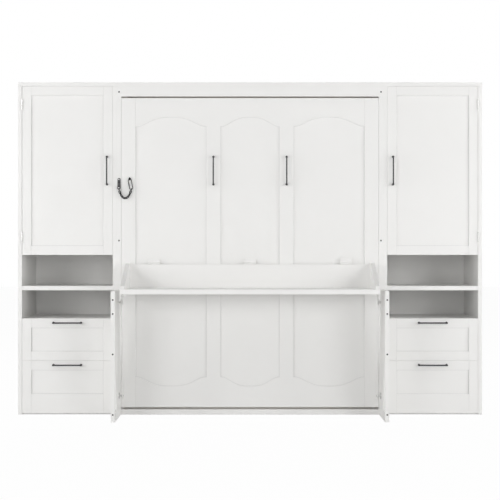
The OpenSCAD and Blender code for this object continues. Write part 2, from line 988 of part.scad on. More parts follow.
// Middle barrel part and leaf of each desk hinge, screwed to the desk's back board
module desk_hinge_leaves() {
    half = knuckle_share / 2 - part_gap;
    color("white") for (x = desk_hinge_at) {
        difference() {
            union() {
                cross_bar(desk_knuckle_r, [x - half, x + half], [hinge_y, hinge_z]);
                span(
                    [x - half, x + half], [desk_back - desk_back_t, hinge_y],
                    [back_board_top, back_board_top + desk_leaf_t]
                );
            }
            cross_bar(desk_pin_r + running_fit, [x - knuckle_share, x + knuckle_share], [hinge_y, hinge_z]);
        }
    }
}

// ---- desk links ----

module desk_link() {
    color("silver") difference() {
        union() {
            cross_bar(link_eye_r, [link_x, link_x + link_t], link_foot);
            cross_bar(link_eye_r, [link_x, link_x + link_t], link_head);
            translate([link_x, link_foot[0], link_foot[1]]) rotate([link_tilt, 0, 0]) {
                translate([link_boss, -link_w / 2, 0]) cube([link_t - 2 * link_boss, link_w, link_l]);
            }
        }
        for (p = [link_foot, link_head]) {
            cross_bar(link_pin_r + running_fit, [link_x - past, link_x + link_t + past], p);
        }
    }
}

module left_desk_link() {
    left_side() desk_link();
}

module right_desk_link() {
    desk_link();
}

// Studs on the legs for the desk links, and on the bay sides for the struts
module fixed_pivot_studs() {
    color("silver") both_sides() {
        cross_bar(stud_plate_r, [leg_in - stud_plate_t, leg_in], link_foot);
        cross_bar(link_pin_r, [link_x - stud_clear, leg_in], link_foot);
        cross_bar(stud_plate_r, [bay_in - stud_plate_t, bay_in], strut_top);
        cross_bar(stud_r, [strut_x - eye_w / 2 - stud_clear, bay_in], strut_top);
    }
}

// ---- lift struts ----

// Puts a strut drawn downwards from its upper eye in its place
module strut_place() {
    translate([strut_x, strut_top[0], strut_top[1]]) rotate([strut_tilt, 0, 0]) children();
}

module strut_eye(z) {
    translate([-eye_w / 2, 0, z]) rotate([0, 90, 0]) cylinder(r = eye_r, h = eye_w);
}

module strut_eye_hole(z) {
    translate([-eye_w, 0, z]) rotate([0, 90, 0]) cylinder(r = stud_r + running_fit, h = 2 * eye_w);
}

module strut_tube() {
    neck_r = 7;
    color("dimgray") strut_place() difference() {
        union() {
            strut_eye(0);
            translate([0, 0, -tube_start]) cylinder(r = neck_r, h = tube_start - eye_r / 2);
            translate([0, 0, -tube_start - tube_l]) cylinder(r = tube_r, h = tube_l);
        }
        strut_eye_hole(0);
        translate([0, 0, -tube_start - tube_l - past]) {
            cylinder(r = rod_r + running_fit, h = tube_l - tube_wall + past);
        }
    }
}

module strut_rod() {
    color("silver") strut_place() difference() {
        union() {
            strut_eye(-strut_l);
            translate([0, 0, -strut_l + eye_r / 2]) cylinder(r = rod_r, h = rod_l);
        }
        strut_eye_hole(-strut_l);
    }
}

module left_strut_tube() {
    left_side() strut_tube();
}

module right_strut_tube() {
    strut_tube();
}

module left_strut_rod() {
    left_side() strut_rod();
}

module right_strut_rod() {
    strut_rod();
}

// ---- safety tether ----

// Anchor plate with a forward pointing peg, on the front edge of the left bay side
module safety_anchor() {
    color("silver") {
        span(
            [peg_x - anchor_w / 2, peg_x + anchor_w / 2], [face_y - anchor_t, face_y],
            [peg_z - anchor_foot, peg_z - anchor_foot + anchor_h]
        );
        translate([peg_x, face_y - anchor_t, peg_z]) rotate([90, 0, 0]) {
            cylinder(r = peg_r, h = tether_fwd + peg_past - anchor_t);
        }
    }
}

// A ring of round wire that lies in the X and Z directions
module flat_ring(r, wire_r) {
    rotate([90, 0, 0]) rotate_extrude() translate([r, 0]) circle(r = wire_r, $fn = wire_fn);
}

// An oval link with its middle at the origin: long along X, in the X and Z directions
module oval_link(half_l, half_w, wire_r) {
    straight = half_l - half_w;
    for (side = [0, 180]) {
        rotate([0, side, 0]) translate([straight, 0, 0]) rotate([90, 0, 0]) {
            rotate([0, 0, -90]) rotate_extrude(angle = 180) {
                translate([half_w, 0]) circle(r = wire_r, $fn = wire_fn);
            }
        }
        rotate([0, side, 0]) translate([-straight, 0, half_w]) rotate([0, 90, 0]) {
            cylinder(r = wire_r, h = 2 * straight, $fn = wire_fn);
        }
    }
}

// The end ring over the peg, then the links along a catenary
module safety_chain() {
    color("black") {
        translate([peg_x, tether_y, ring_z]) flat_ring(ring_r, ring_wire_r);
        for (i = [0:link_count - 1]) {
            s = link_in_ring + i * chain_pitch - chain_l / 2;
            x = peg_x + chain_span / 2 + chain_x(s);
            z = chain_z - chain_sag + chain_y(s);
            translate([x, tether_y, z]) rotate([0, -chain_turn(s), 0]) {
                rotate([i % 2 == 0 ? 90 : 0, 0, 0]) {
                    oval_link(chain_half_l, chain_half_w, chain_wire_r);
                }
            }
        }
    }
}

// The snap hook between the chain and the screw eye, with the sleeve of its gate
module snap_hook() {
    sleeve_r = snap_wire_r + 1;
    sleeve_l = 20;
    color("black") {
        translate([(snap_x + snap_top[0]) / 2, tether_y, (chain_z + snap_top[1]) / 2]) {
            rotate([0, 90 - snap_lean, 0]) {
                oval_link(snap_l / 2, snap_end_r, snap_wire_r);
                translate([-sleeve_l / 2, 0, -snap_end_r]) rotate([0, 90, 0]) {
                    cylinder(r = sleeve_r, h = sleeve_l);
                }
            }
        }
    }
}

// The screw eye in the stile of the bed face
module safety_eye() {
    base_r = 8;
    base_t = 1.5;
    color("black") translate([snap_top[0], 0, screw_eye_z]) {
        translate([0, tether_y, 0]) rotate([0, 0, 90]) flat_ring(screw_eye_r, screw_eye_wire_r);
        translate([0, face_y, 0]) rotate([90, 0, 0]) {
            cylinder(r = base_r, h = base_t);
            cylinder(r = screw_eye_wire_r, h = tether_fwd - screw_eye_r);
        }
    }
}

bed_bay_side_left();
bed_bay_side_right();
bed_bay_top();
bay_rails();
wall_rails();
tower_sides();
tower_tops();
cupboard_floors();
niche_shelves();
drawer_decks();
tower_bases();
tower_backs();
cupboard_shelves();
door_hinges();
drawer_runners();
leg_panels();
leg_front_strips();
bolt_caps();
safety_anchor();
fixed_pivot_studs();
left_door();
right_door();
left_door_handle();
right_door_handle();
left_door_hinge_leaves();
right_door_hinge_leaves();
upper_left_drawer_front();
upper_right_drawer_front();
lower_left_drawer_front();
lower_right_drawer_front();
upper_left_drawer_box();
upper_right_drawer_box();
lower_left_drawer_box();
lower_right_drawer_box();
upper_left_drawer_handle();
upper_right_drawer_handle();
lower_left_drawer_handle();
lower_right_drawer_handle();
bed_face();
bed_side_rails();
bed_end_rails();
bed_centre_rail();
bed_slats();
bed_handles();
bed_pivot_pins();
desk_hinges();
safety_eye();
safety_chain();
snap_hook();
desktop();
desk_back_board();
desk_end_panels();
desk_pivot_plates();
desk_hinge_leaves();
left_desk_link();
right_desk_link();
left_strut_tube();
right_strut_tube();
left_strut_rod();
right_strut_rod();
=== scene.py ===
# %% [markdown]
# # A wall bed with a fold down desk
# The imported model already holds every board, hinge and strut at its real size. This file
# dresses it: paint, metal, wood, the small fastenings, the light and the camera. Each new piece
# could be placed by typed numbers alone, but the boxes of the model's own nodes say where its
# boards end, so we load the model first, measure it, and never move its nodes.

# %% Load the frame
import json
import math

import bmesh
import bpy
from mathutils import Matrix, Vector

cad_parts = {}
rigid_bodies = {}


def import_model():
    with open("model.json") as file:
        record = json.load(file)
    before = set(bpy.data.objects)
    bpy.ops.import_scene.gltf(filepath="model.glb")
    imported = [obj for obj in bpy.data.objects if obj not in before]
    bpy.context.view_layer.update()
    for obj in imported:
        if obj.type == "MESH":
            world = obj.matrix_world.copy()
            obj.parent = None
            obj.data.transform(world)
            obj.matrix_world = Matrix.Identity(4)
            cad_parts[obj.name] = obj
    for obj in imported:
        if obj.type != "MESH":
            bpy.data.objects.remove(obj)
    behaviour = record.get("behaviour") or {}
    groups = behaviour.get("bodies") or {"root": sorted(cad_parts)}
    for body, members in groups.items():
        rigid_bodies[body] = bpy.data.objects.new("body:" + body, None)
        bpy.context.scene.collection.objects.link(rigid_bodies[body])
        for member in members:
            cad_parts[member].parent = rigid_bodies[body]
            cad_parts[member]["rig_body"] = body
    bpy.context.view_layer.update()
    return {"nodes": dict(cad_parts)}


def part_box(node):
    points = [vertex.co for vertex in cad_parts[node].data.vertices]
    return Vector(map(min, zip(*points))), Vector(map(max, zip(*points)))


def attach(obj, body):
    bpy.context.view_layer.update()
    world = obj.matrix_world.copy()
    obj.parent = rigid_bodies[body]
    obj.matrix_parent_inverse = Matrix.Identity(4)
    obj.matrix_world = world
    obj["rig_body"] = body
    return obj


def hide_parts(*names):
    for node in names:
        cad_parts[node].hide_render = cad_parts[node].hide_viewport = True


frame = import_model()
nodes = frame["nodes"]
scene = bpy.context.scene
SIDES = {"left": -1, "right": 1}
print("nodes in the frame:", len(nodes))

# %% [markdown]
# ## The camera
# The photograph looks straight at the fronts, from chest height. A near camera with a short
# lens would show the same width, but it would splay the towers and enlarge the desk. A long lens
# from about nine metres keeps the towers square. The width of the cabinets in the picture sets
# the focal length: at the plane of the fronts one pixel is 6.5 mm, so 500 pixels span 3.25 m.

# %% Camera
FACE_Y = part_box("bed_face")[0].y
CAMERA_DISTANCE = 8.7
CAMERA_HEIGHT = 1.07
PICTURE_SPAN = 3.25
CLIP_END = 60

camera = bpy.data.objects.new("camera", bpy.data.cameras.new("camera"))
scene.collection.objects.link(camera)
camera.location = (0, FACE_Y - CAMERA_DISTANCE, CAMERA_HEIGHT)
camera.rotation_euler = (math.radians(90), 0, 0)
camera.data.lens = camera.data.sensor_width * CAMERA_DISTANCE / PICTURE_SPAN
camera.data.clip_end = CLIP_END
scene.camera = camera
print(f"lens {camera.data.lens:.1f} mm")

# %% [markdown]
# ## A white room
# A product picture like this stands on a white ground. We could light the room until it burns
# out to white, but then the white boards would burn out too. So the world has two strengths: the
# camera and the mirrors see full white, and the object gets a low, even light from all round.

# %% World
AMBIENT = 0.18
SEEN_WHITE = 1.0


def two_way_background(tree, shown, lighting):
    """Strength of a background: one value for the camera and mirrors, another for lighting."""
    path = tree.nodes.new("ShaderNodeLightPath")
    seen = tree.nodes.new("ShaderNodeMath")
    seen.operation = "MAXIMUM"
    tree.links.new(path.outputs["Is Camera Ray"], seen.inputs[0])
    tree.links.new(path.outputs["Is Glossy Ray"], seen.inputs[1])
    strength = tree.nodes.new("ShaderNodeMapRange")
    strength.inputs["To Min"].default_value = lighting
    strength.inputs["To Max"].default_value = shown
    tree.links.new(seen.outputs[0], strength.inputs["Value"])
    return strength.outputs["Result"]


scene.view_settings.view_transform = "Standard"
world = bpy.data.worlds.new("white room")
world.use_nodes = True
scene.world = world
background = world.node_tree.nodes["Background"]
background.inputs["Color"].default_value = (1, 1, 1, 1)
strength = two_way_background(world.node_tree, SEEN_WHITE, AMBIENT)
world.node_tree.links.new(strength, background.inputs["Strength"])
print("light from all round:", AMBIENT)

# %% [markdown]
# ## The floor
# In the picture the ground is pure white, with only a trace of shadow left. A shadow catcher
# would need a second picture to lie on. Instead the floor glows white for the camera and keeps
# a small share of its lit surface, which carries the shadow.

# %% Floor
FLOOR_HALF = 30
FLOOR_DROP = 0.001
FLOOR_COLOUR = (0.86, 0.86, 0.86, 1)
FLOOR_ROUGHNESS = 0.9
SHADOW_SHARE = 0.03


def floor_material():
    """White to the camera, with a little of the real shadow kept."""
    made = bpy.data.materials.new("studio floor")
    made.use_nodes = True
    tree = made.node_tree
    surface = tree.nodes["Principled BSDF"]
    surface.inputs["Base Color"].default_value = FLOOR_COLOUR
    surface.inputs["Roughness"].default_value = FLOOR_ROUGHNESS
    glow = tree.nodes.new("ShaderNodeEmission")
    glow.inputs["Strength"].default_value = SEEN_WHITE
    path = tree.nodes.new("ShaderNodeLightPath")
    share = tree.nodes.new("ShaderNodeMath")
    share.operation = "MULTIPLY"
    share.inputs[1].default_value = 1 - SHADOW_SHARE
    tree.links.new(path.outputs["Is Camera Ray"], share.inputs[0])
    mix = tree.nodes.new("ShaderNodeMixShader")
    tree.links.new(share.outputs[0], mix.inputs[0])
    tree.links.new(surface.outputs[0], mix.inputs[1])
    tree.links.new(glow.outputs[0], mix.inputs[2])
    tree.links.new(mix.outputs[0], tree.nodes["Material Output"].inputs["Surface"])
    return made


def floor_sheet(half):
    """A square floor of one face, just under the object's feet."""
    mesh = bpy.data.meshes.new("floor")
    corners = [(-half, -half, 0), (half, -half, 0), (half, half, 0), (-half, half, 0)]
    mesh.from_pydata(corners, [], [(0, 1, 2, 3)])
    made = bpy.data.objects.new("floor", mesh)
    scene.collection.objects.link(made)
    made.location.z = -FLOOR_DROP
    mesh.materials.append(floor_material())
    return made


floor_sheet(FLOOR_HALF)
print("floor", 2 * FLOOR_HALF, "m wide")

# %% [markdown]
# ## Soft boxes
# The soft, even shadows speak for large soft boxes at both sides. A sun lamp would throw hard
# ones, so we use square area lamps, in pairs that mirror each other. The light across from the
# far side reaches into the niches and brightens their outer walls, and the boxes close to the
# fronts graze them, which leaves a thin dark line along the outer edge of every sunk panel. The
# levels were fitted to tones measured in the photograph: fronts near 235, niche backs near 150.
# Two more boxes behind light the back and the top for the other views.

# %% Lamps
ROOM_MIDDLE = (0, 0, 1.0)
# name, place at the right, what it points at, side of the square, watts
SOFT_BOXES = [
    ("cross", (5.0, -7.0, 2.0), ROOM_MIDDLE, 2.6, 117),
    ("high edge", (5.5, -2.2, 3.4), (0.9, 0, 1.0), 2.2, 48),
    ("low edge", (5.5, -2.6, 1.6), (1.0, 0, 0.9), 2.0, 48),
    ("back", (3.5, 4.6, 6.2), (0.4, 0.4, 1.5), 2.6, 130),
]
FRONT_FILL = ("front fill", (0, -8, 1.0), (0, 0, 0.9), 3.0, 70)


def soft_box(name, at, towards, size, power):
    """A square area lamp that looks at a point."""
    lamp = bpy.data.lights.new(name, "AREA")
    lamp.shape = "SQUARE"
    lamp.size = size
    lamp.energy = power
    made = bpy.data.objects.new(name, lamp)
    made.location = at
    made.rotation_euler = (Vector(towards) - Vector(at)).to_track_quat("-Z", "Y").to_euler()
    scene.collection.objects.link(made)
    return made


soft_box(*FRONT_FILL)
for name, at, towards, size, power in SOFT_BOXES:
    for side, sign in SIDES.items():
        mirrored = [(sign * x, y, z) for x, y, z in (at, towards)]
        soft_box(f"{side} {name}", *mirrored, size, power)
print("lamps:", len(bpy.data.lights))

# %% [markdown]
# ## Uneven finishes
# Paint, metal and wood are never one flat value. A photograph wrapped round the boards would
# show that too, but it has one scale and shows its seams. Noise made by nodes has neither
# fault: each finish is one Principled shader, and noise at two scales varies its colour, its
# gloss and its height. The sizes are in metres, because every node's object coordinates are the
# frame's own.

# %% A finish and its noise
def new_finish(name, colour, roughness, metallic=0.0):
    """A material of one Principled shader, with its plain values set on the sockets."""
    made = bpy.data.materials.new(name)
    made.use_nodes = True
    surface = made.node_tree.nodes["Principled BSDF"]
    surface.inputs["Base Color"].default_value = (*colour, 1)
    surface.inputs["Roughness"].default_value = roughness
    surface.inputs["Metallic"].default_value = metallic
    return made


def noise(made, size, detail=2.0, stretch=(1, 1, 1)):
    """Noise in object coordinates whose spots are about `size` metres across."""
    tree = made.node_tree
    place = tree.nodes.new("ShaderNodeTexCoord")
    scale = tree.nodes.new("ShaderNodeMapping")
    scale.inputs["Scale"].default_value = [k / size for k in stretch]
    tree.links.new(place.outputs["Object"], scale.inputs["Vector"])
    spots = tree.nodes.new("ShaderNodeTexNoise")
    spots.inputs["Scale"].default_value = 1.0
    spots.inputs["Detail"].default_value = detail
    tree.links.new(scale.outputs[0], spots.inputs["Vector"])
    return spots.outputs["Fac"]


# %% Uneven gloss, colour and height
RAMP_FROM = 0.3
RAMP_TO = 0.7


def vary_roughness(made, value, low, high):
    """Lets a noise value move the roughness between two ends."""
    tree = made.node_tree
    spread = tree.nodes.new("ShaderNodeMapRange")
    spread.inputs["To Min"].default_value = low
    spread.inputs["To Max"].default_value = high
    tree.links.new(value, spread.inputs["Value"])
    tree.links.new(spread.outputs["Result"], tree.nodes["Principled BSDF"].inputs["Roughness"])


def vary_colour(made, value, dark, light):
    """Lets a noise value move the colour between two near shades."""
    tree = made.node_tree
    ramp = tree.nodes.new("ShaderNodeValToRGB")
    ends = ramp.color_ramp.elements
    ends[0].position = RAMP_FROM
    ends[1].position = RAMP_TO
    ends[0].color = (*dark, 1)
    ends[1].color = (*light, 1)
    tree.links.new(value, ramp.inputs["Fac"])
    tree.links.new(ramp.outputs["Color"], tree.nodes["Principled BSDF"].inputs["Base Color"])


def bump(made, value, depth):
    """Lets a noise value raise the surface by up to `depth` metres."""
    tree = made.node_tree
    node = tree.nodes.new("ShaderNodeBump")
    node.inputs["Distance"].default_value = depth
    tree.links.new(value, node.inputs["Height"])
    tree.links.new(node.outputs["Normal"], tree.nodes["Principled BSDF"].inputs["Normal"])


# %% [markdown]
# ## White paint
# The boards are sprayed satin white. A spray gun leaves a faint orange peel, a few millimetres
# across, and slow clouds of colour and gloss. In the inner corners, recesses and gaps the colour
# is darkened as painted shade, standing in for the shade that falls there. Those corners could be
# painted by hand on each board, but the ambient occlusion node finds them by itself, on every
# board alike.

# %% Painted shade in the corners
CORNER_SAMPLES = 8


def paint_corner_shade(made, reach, shade):
    """Darkens the inner corners of a board as painted shade: `reach` is how far out, `shade` how
    dark.
    """
    tree = made.node_tree
    base = tree.nodes["Principled BSDF"].inputs["Base Color"]
    unshaded_colour = base.links[0].from_socket
    # ambient occlusion picks out the corners, and the colour there is darkened: painted shade
    corner = tree.nodes.new("ShaderNodeAmbientOcclusion")
    corner.samples = CORNER_SAMPLES
    corner.only_local = True
    corner.inputs["Distance"].default_value = reach
    tint = tree.nodes.new("ShaderNodeMix")
    tint.data_type = "RGBA"
    tint.blend_type = "MIX"
    tint.inputs["A"].default_value = (shade, shade, shade, 1)
    tree.links.new(corner.outputs["AO"], tint.inputs["Factor"])
    tree.links.new(unshaded_colour, tint.inputs["B"])
    tree.links.new(tint.outputs["Result"], base)


# %% White paint on board
WHITE_LIGHT = (0.895, 0.890, 0.875)
WHITE_DARK = (0.880, 0.875, 0.860)


def white_paint():
    """Sprayed satin white, for every board that shows."""
    made = new_finish("satin white paint", WHITE_LIGHT, roughness=0.42)
    vary_colour(made, noise(made, size=0.35), WHITE_DARK, WHITE_LIGHT)
    vary_roughness(made, noise(made, size=0.08), low=0.38, high=0.48)
    bump(made, noise(made, size=0.0035, detail=3.0), depth=0.00004)
    # painted shade: the inner corners and recesses of the paint are darkened where shade falls
    paint_corner_shade(made, reach=0.007, shade=0.62)
    return made


paint = white_paint()
print("painted:", paint.name)

# %% Laminate inside the drawers
LAMINATE = (0.80, 0.795, 0.78)
LAMINATE_LIGHT = (0.81, 0.805, 0.79)
LAMINATE_DARK = (0.78, 0.775, 0.76)


def white_laminate():
    """The plain, slightly greyer sheet that drawer boxes are made of."""
    made = new_finish("drawer laminate", LAMINATE, roughness=0.5)
    vary_colour(made, noise(made, size=0.05), LAMINATE_DARK, LAMINATE_LIGHT)
    vary_roughness(made, noise(made, size=0.01), low=0.45, high=0.6)
    bump(made, noise(made, size=0.0012), depth=0.00003)
    return made


laminate = white_laminate()
print("laminated:", laminate.name)

# %% [markdown]
# ## Coats and bare metal
# Pulls, strut tubes and hinges are sprayed or dipped in a thin coat that has a fine grain. The
# runners, pins and rods are plated steel, which keeps the lines of the rolling mill. One shader
# for each family would do, with its numbers typed in every time, but the members of a family
# differ only in colour and gloss, so each family has one function and a row of calls.

# %% Coated metal
COAT_SPOTS = 0.012
COAT_GLOSS_SPOTS = 0.004
COAT_GRAIN = 0.0007
COAT_GRAIN_DEPTH = 0.00002
BLACK_ZINC_SPECULAR = 0.2


def powder_coat(name, colour, low, high, depth=0.25):
    """A sprayed coat: `depth` is how much darker its dark spots are."""
    made = new_finish(name, colour, low)
    dark = tuple(c * (1 - depth) for c in colour)
    vary_colour(made, noise(made, COAT_SPOTS), dark, colour)
    vary_roughness(made, noise(made, COAT_GLOSS_SPOTS), low, high)
    bump(made, noise(made, COAT_GRAIN), COAT_GRAIN_DEPTH)
    return made


black_coat = powder_coat("matte black coat", (0.030, 0.030, 0.032), 0.42, 0.58)
black_zinc = powder_coat("black zinc", (0.008, 0.008, 0.009), 0.45, 0.60)
black_zinc_shader = black_zinc.node_tree.nodes["Principled BSDF"]
black_zinc_shader.inputs["Specular IOR Level"].default_value = BLACK_ZINC_SPECULAR
cap_grey = powder_coat("dark bolt cap", (0.10, 0.10, 0.10), 0.35, 0.5)
tube_black = powder_coat("strut enamel", (0.02, 0.02, 0.022), 0.15, 0.22)
hinge_white = powder_coat("white enamel", (0.90, 0.895, 0.88), 0.3, 0.4, depth=0.03)
rubber = powder_coat("black rubber", (0.025, 0.025, 0.025), 0.7, 0.85)
coats = (black_coat, black_zinc, cap_grey, tube_black, hinge_white, rubber)
print("coats:", ", ".join(coat.name for coat in coats))

# %% Bare metal
ROLLING_LINES = 0.004
STEEL_SPOTS = 0.03
STEEL_DARK = 0.9
ROLLING_DEPTH = 0.00001
EVEN = (1, 1, 1)


def plated_steel(name, colour, low, high, grain):
    """Steel with the fine lines of rolling along `grain`, a stretch for each axis."""
    made = new_finish(name, colour, low, metallic=1.0)
    lines = noise(made, ROLLING_LINES, detail=3.0, stretch=grain)
    vary_roughness(made, lines, low, high)
    dark = tuple(c * STEEL_DARK for c in colour)
    vary_colour(made, noise(made, STEEL_SPOTS), dark, colour)
    bump(made, lines, ROLLING_DEPTH)
    return made


zinc = plated_steel("zinc plated steel", (0.60, 0.60, 0.59), 0.28, 0.42, grain=(1, 4, 0.2))
chrome = plated_steel("strut rod chrome", (0.78, 0.78, 0.79), 0.06, 0.12, grain=(1, 1, 0.2))
phosphate = plated_steel("grey phosphated steel", (0.075, 0.075, 0.077), 0.38, 0.5, EVEN)
bright_steel = plated_steel("bright steel", (0.75, 0.75, 0.75), 0.12, 0.22, EVEN)
steels = (zinc, chrome, phosphate, bright_steel)
print("steels:", ", ".join(steel.name for steel in steels))

# %% [markdown]
# ## Slat wood
# The slats are bare softwood, pressed in layers, and their grain runs along the slat. The wave
# texture draws growth rings, which a thin slat doesn't show. Noise that is stretched twenty
# times along X gives the long streaks that it does.

# %% Slat wood
WOOD = (0.60, 0.43, 0.25)
WOOD_DARK = (0.52, 0.36, 0.20)
WOOD_LIGHT = (0.68, 0.50, 0.31)
ALONG_SLAT = (0.05, 1, 1)


def slat_wood():
    """Bare wood whose grain runs along X."""
    made = new_finish("bare slat wood", WOOD, roughness=0.55)
    grain = noise(made, size=0.012, detail=4.0, stretch=ALONG_SLAT)
    vary_colour(made, grain, WOOD_DARK, WOOD_LIGHT)
    vary_roughness(made, grain, low=0.5, high=0.65)
    bump(made, grain, depth=0.0001)
    return made


wood = slat_wood()
print("wood:", wood.name)

# %% [markdown]
# ## Boards with eased edges
# No painted board has a knife edge: a rub with sandpaper eases it by about half a millimetre,
# and it catches a thin line of light. Bevelling the mesh itself would change the model's boards,
# so a modifier does it. The imported faces don't share their corners, so a weld comes first,
# and weighted normals keep the large faces flat.

# %% Dress a node and ease its edges
WELD_REACH = 0.00001
EASED_ANGLE = math.radians(40)
FLAT_FACE_WEIGHT = 100


def dress(node, material):
    """Gives a CAD node one finish."""
    mesh = nodes[node].data
    mesh.materials.clear()
    mesh.materials.append(material)


def ease_edges(thing, width, segments=2):
    """Rounds the sharp edges of a node or a piece by `width` metres."""
    weld = thing.modifiers.new("weld", "WELD")
    weld.merge_threshold = WELD_REACH
    bevel = thing.modifiers.new("eased edges", "BEVEL")
    bevel.width = width
    bevel.segments = segments
    bevel.limit_method = "ANGLE"
    bevel.angle_limit = EASED_ANGLE
    normals = thing.modifiers.new("flat faces", "WEIGHTED_NORMAL")
    normals.keep_sharp = False
    normals.weight = FLAT_FACE_WEIGHT


# %% Paint the boards
BOARD_EASE = 0.0006
BOARDS = [
    "bed_bay_side_left", "bed_bay_side_right", "bed_bay_top", "bay_rails", "wall_rails",
    "tower_sides", "tower_tops", "cupboard_floors", "niche_shelves", "drawer_decks",
    "tower_bases", "tower_backs", "cupboard_shelves", "leg_panels", "leg_front_strips",
    "left_door", "right_door", "bed_face", "bed_side_rails", "bed_end_rails", "bed_centre_rail",
    "desktop", "desk_back_board", "desk_end_panels",
]
DRAWERS = [f"{row}_{side}_drawer" for row in ("upper", "lower") for side in SIDES]
BOARDS += [f"{name}_front" for name in DRAWERS]
for name in BOARDS:
    dress(name, paint)
    ease_edges(nodes[name], BOARD_EASE)
for name in DRAWERS:
    dress(f"{name}_box", laminate)
    ease_edges(nodes[f"{name}_box"], BOARD_EASE)
print("boards:", len(BOARDS), "drawer boxes:", len(DRAWERS))

# %% [markdown]
# ## Hardware that keeps its CAD shape
# Hinges, runners, pins and links are pressed or turned steel, and the CAD model has their whole
# shape. Drawing them again would only lose accuracy, so they keep their nodes and get a finish
# and a very small bevel, which is all that a deburred edge shows. The hinges and links of the
# desk are enamelled white like the boards, because the photograph shows hardly any of them.

# %% Finish the hardware
HARDWARE_EASE = 0.0002
METAL = {
    "door_hinges": zinc, "left_door_hinge_leaves": zinc, "right_door_hinge_leaves": zinc,
    "drawer_runners": zinc, "bed_pivot_pins": zinc, "fixed_pivot_studs": zinc,
    "desk_pivot_plates": hinge_white, "left_desk_link": hinge_white,
    "right_desk_link": hinge_white, "desk_hinges": hinge_white,
    "desk_hinge_leaves": hinge_white, "bed_slats": wood,
    "safety_eye": black_zinc, "snap_hook": black_zinc,
    "left_strut_tube": tube_black, "right_strut_tube": tube_black,
    "left_strut_rod": chrome, "right_strut_rod": chrome,
}
for name, material in METAL.items():
    dress(name, material)
    ease_edges(nodes[name], HARDWARE_EASE, segments=1)
print("hardware nodes:", len(METAL))

# %% [markdown]
# ## Pulls
# The pulls are slim bars held off the board by two posts, with a small collar at each foot. One
# curve with a bevel could bend through bar and posts, but a real pull has a straight bar between
# straight posts. So we draw closed round rods in a bmesh, from the middle of the box of the CAD
# handle, and let a bevel soften their ends.

# %% Rods and pieces
ROD_SIDES = 24


def add_rod(bm, start, end, radius, sides=ROD_SIDES):
    """A closed round rod between two points."""
    start, end = Vector(start), Vector(end)
    turn = (end - start).to_track_quat("Z", "Y").to_matrix().to_4x4()
    place = Matrix.Translation((start + end) / 2) @ turn
    bmesh.ops.create_cone(
        bm, cap_ends=True, segments=sides, radius1=radius, radius2=radius,
        depth=(end - start).length, matrix=place,
    )


def piece(name, bm, material, body):
    """Turns a bmesh into a finished piece that rides on a body."""
    mesh = bpy.data.meshes.new(name)
    bm.to_mesh(mesh)
    bm.free()
    for face in mesh.polygons:
        face.use_smooth = True
    mesh.materials.append(material)
    made = bpy.data.objects.new(name, mesh)
    scene.collection.objects.link(made)
    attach(made, body)
    return made


def body_of(node):
    """Name of the body that a CAD node is part of."""
    return nodes[node]["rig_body"]


# %% Draw the pulls
PULL_BAR = 0.0045
PULL_POST = 0.0055
PULL_COLLAR = 0.0075
PULL_REACH = 0.029
COLLAR_THICK = 0.0025
COLLAR_SIDES = 32
PULL_EASE = 0.0007


def draw_pull(bm, centre, along, half):
    """One pull: centre on the board, `along` its long direction, half its length."""
    reach = Vector((0, -PULL_REACH, 0))
    post_at = half - PULL_POST
    for end in (-1, 1):
        foot = centre + along * (end * post_at)
        add_rod(bm, foot, foot + reach + Vector((0, -PULL_BAR, 0)), PULL_POST)
        add_rod(bm, foot, foot + Vector((0, -COLLAR_THICK, 0)), PULL_COLLAR, COLLAR_SIDES)
    add_rod(bm, centre + reach - along * post_at, centre + reach + along * post_at, PULL_BAR)


def pulls_for(node):
    """Draws the pulls in a handle node's box, whether they stand or lie."""
    low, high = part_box(node)
    bm = bmesh.new()
    lies = high.x - low.x > high.z - low.z and node != "bed_handles"
    along = Vector((1, 0, 0)) if lies else Vector((0, 0, 1))
    half = (high.x - low.x) / 2 if lies else (high.z - low.z) / 2
    middle_z = (low.z + high.z) / 2
    if node == "bed_handles":
        places = [low.x + PULL_POST, high.x - PULL_POST]
    else:
        places = [(low.x + high.x) / 2]
    for x in places:
        draw_pull(bm, Vector((x, FACE_Y, middle_z)), along, half)
    made = piece(node.replace("handle", "pull"), bm, black_coat, body_of(node))
    ease_edges(made, PULL_EASE, segments=3)
    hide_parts(node)
    return made


HANDLES = [f"{name}_handle" for name in DRAWERS] + [f"{side}_door_handle" for side in SIDES]
HANDLES.append("bed_handles")
for name in HANDLES:
    pulls_for(name)
print("pulls:", len(HANDLES) + 1)

# %% [markdown]
# ## Edge bands
# The cut edges of doors, drawer fronts and the bed's face are closed with a white plastic band,
# a millimetre or two thick, which leaves only a hairline between a front and its neighbour. A
# wider board would narrow the gap as well, but it would change the model and hide the joint. So
# each band is one strip with a small chamfer at its front corner, set a hair behind the face so
# that the joint stays as fine as a glued one.

# %% One strip of edge band
BAND_BEHIND = 0.00015
BAND_INTO = 0.0008
BAND_CHAMFER = 0.0003
BAND_SHARP = math.radians(20)


def band_strip(bm, edge, out, front_y, back_y, start, end, thick):
    """One strip along a board's edge. `edge` is a point on it, `out` points away from the board,
    and `start` and `end` are places along the edge."""
    along = Vector((0, 0, 1)) if out.x else Vector((1, 0, 0))
    section = [
        (-BAND_INTO, front_y), (thick - BAND_CHAMFER, front_y), (thick, front_y + BAND_CHAMFER),
        (thick, back_y), (-BAND_INTO, back_y),
    ]
    loops = []
    for place in (start, end):
        base = Vector(edge) + along * place
        spots = [base + out * reach + Vector((0, y, 0)) for reach, y in section]
        loops.append([bm.verts.new(spot) for spot in spots])
    count = len(section)
    for i in range(count):
        j = (i + 1) % count
        bm.faces.new((loops[0][i], loops[0][j], loops[1][j], loops[1][i]))
    bm.faces.new(list(reversed(loops[0])))
    bm.faces.new(loops[1])


# %% Band the fronts
# for each board: the edges that are banded, and how thick the band is
BANDED = {
    "left_door": ({"right", "top"}, 0.0012),
    "right_door": ({"left", "top"}, 0.0012),
    "bed_face": ({"left", "right"}, 0.0018),
}
for name in DRAWERS:
    BANDED[f"{name}_front"] = ({"left", "right", "top", "bottom"}, 0.0006)


